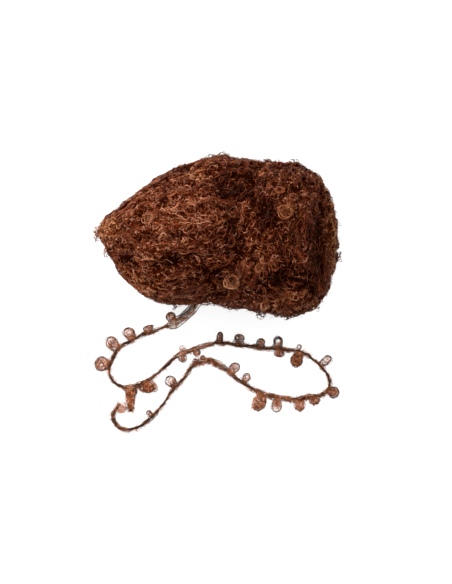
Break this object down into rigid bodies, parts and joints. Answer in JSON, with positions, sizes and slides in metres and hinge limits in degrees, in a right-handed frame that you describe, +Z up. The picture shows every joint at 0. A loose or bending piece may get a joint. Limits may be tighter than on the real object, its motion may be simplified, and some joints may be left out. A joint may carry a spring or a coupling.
{
  "type": "ball of mohair boucle yarn",
  "caption": "Hand-wound ball of dark brown mohair boucle yarn, pointed at one end and blunt at the other, with a curly loose end laid out in front of it.",
  "frame": {"origin": "on the surface that the ball rests on, under the middle of the ball's box, the loose end and its curls left out", "axes": "+X along the ball to its blunt end, +Y to its back, away from the loose end, +Z up"},
  "size_m": [0.1355, 0.1473, 0.0638],
  "materials": {
    "wound_mohair": "glossy dark brown mohair boucle, wound",
    "cord_mohair": "dark brown twisted mohair with a fine halo",
    "curl_mohair": "lighter brown translucent mohair curls"
  },
  "bodies": {
    "root": {"yarn_ball": "wound_mohair", "loose_end": "cord_mohair", "curl_01": "curl_mohair", "curl_02": "curl_mohair", "curl_03": "curl_mohair", "curl_04": "curl_mohair", "curl_05": "curl_mohair", "curl_06": "curl_mohair", "curl_07": "curl_mohair", "curl_08": "curl_mohair", "curl_09": "curl_mohair", "curl_10": "curl_mohair", "curl_11": "curl_mohair", "curl_12": "curl_mohair", "curl_13": "curl_mohair", "curl_14": "curl_mohair", "curl_15": "curl_mohair", "curl_16": "curl_mohair", "curl_17": "curl_mohair", "curl_18": "curl_mohair", "curl_19": "curl_mohair", "curl_20": "curl_mohair", "curl_21": "curl_mohair", "curl_22": "curl_mohair", "curl_23": "curl_mohair", "curl_24": "curl_mohair", "curl_25": "curl_mohair", "curl_26": "curl_mohair", "curl_27": "curl_mohair", "curl_28": "curl_mohair"}
  },
  "joints": []
}
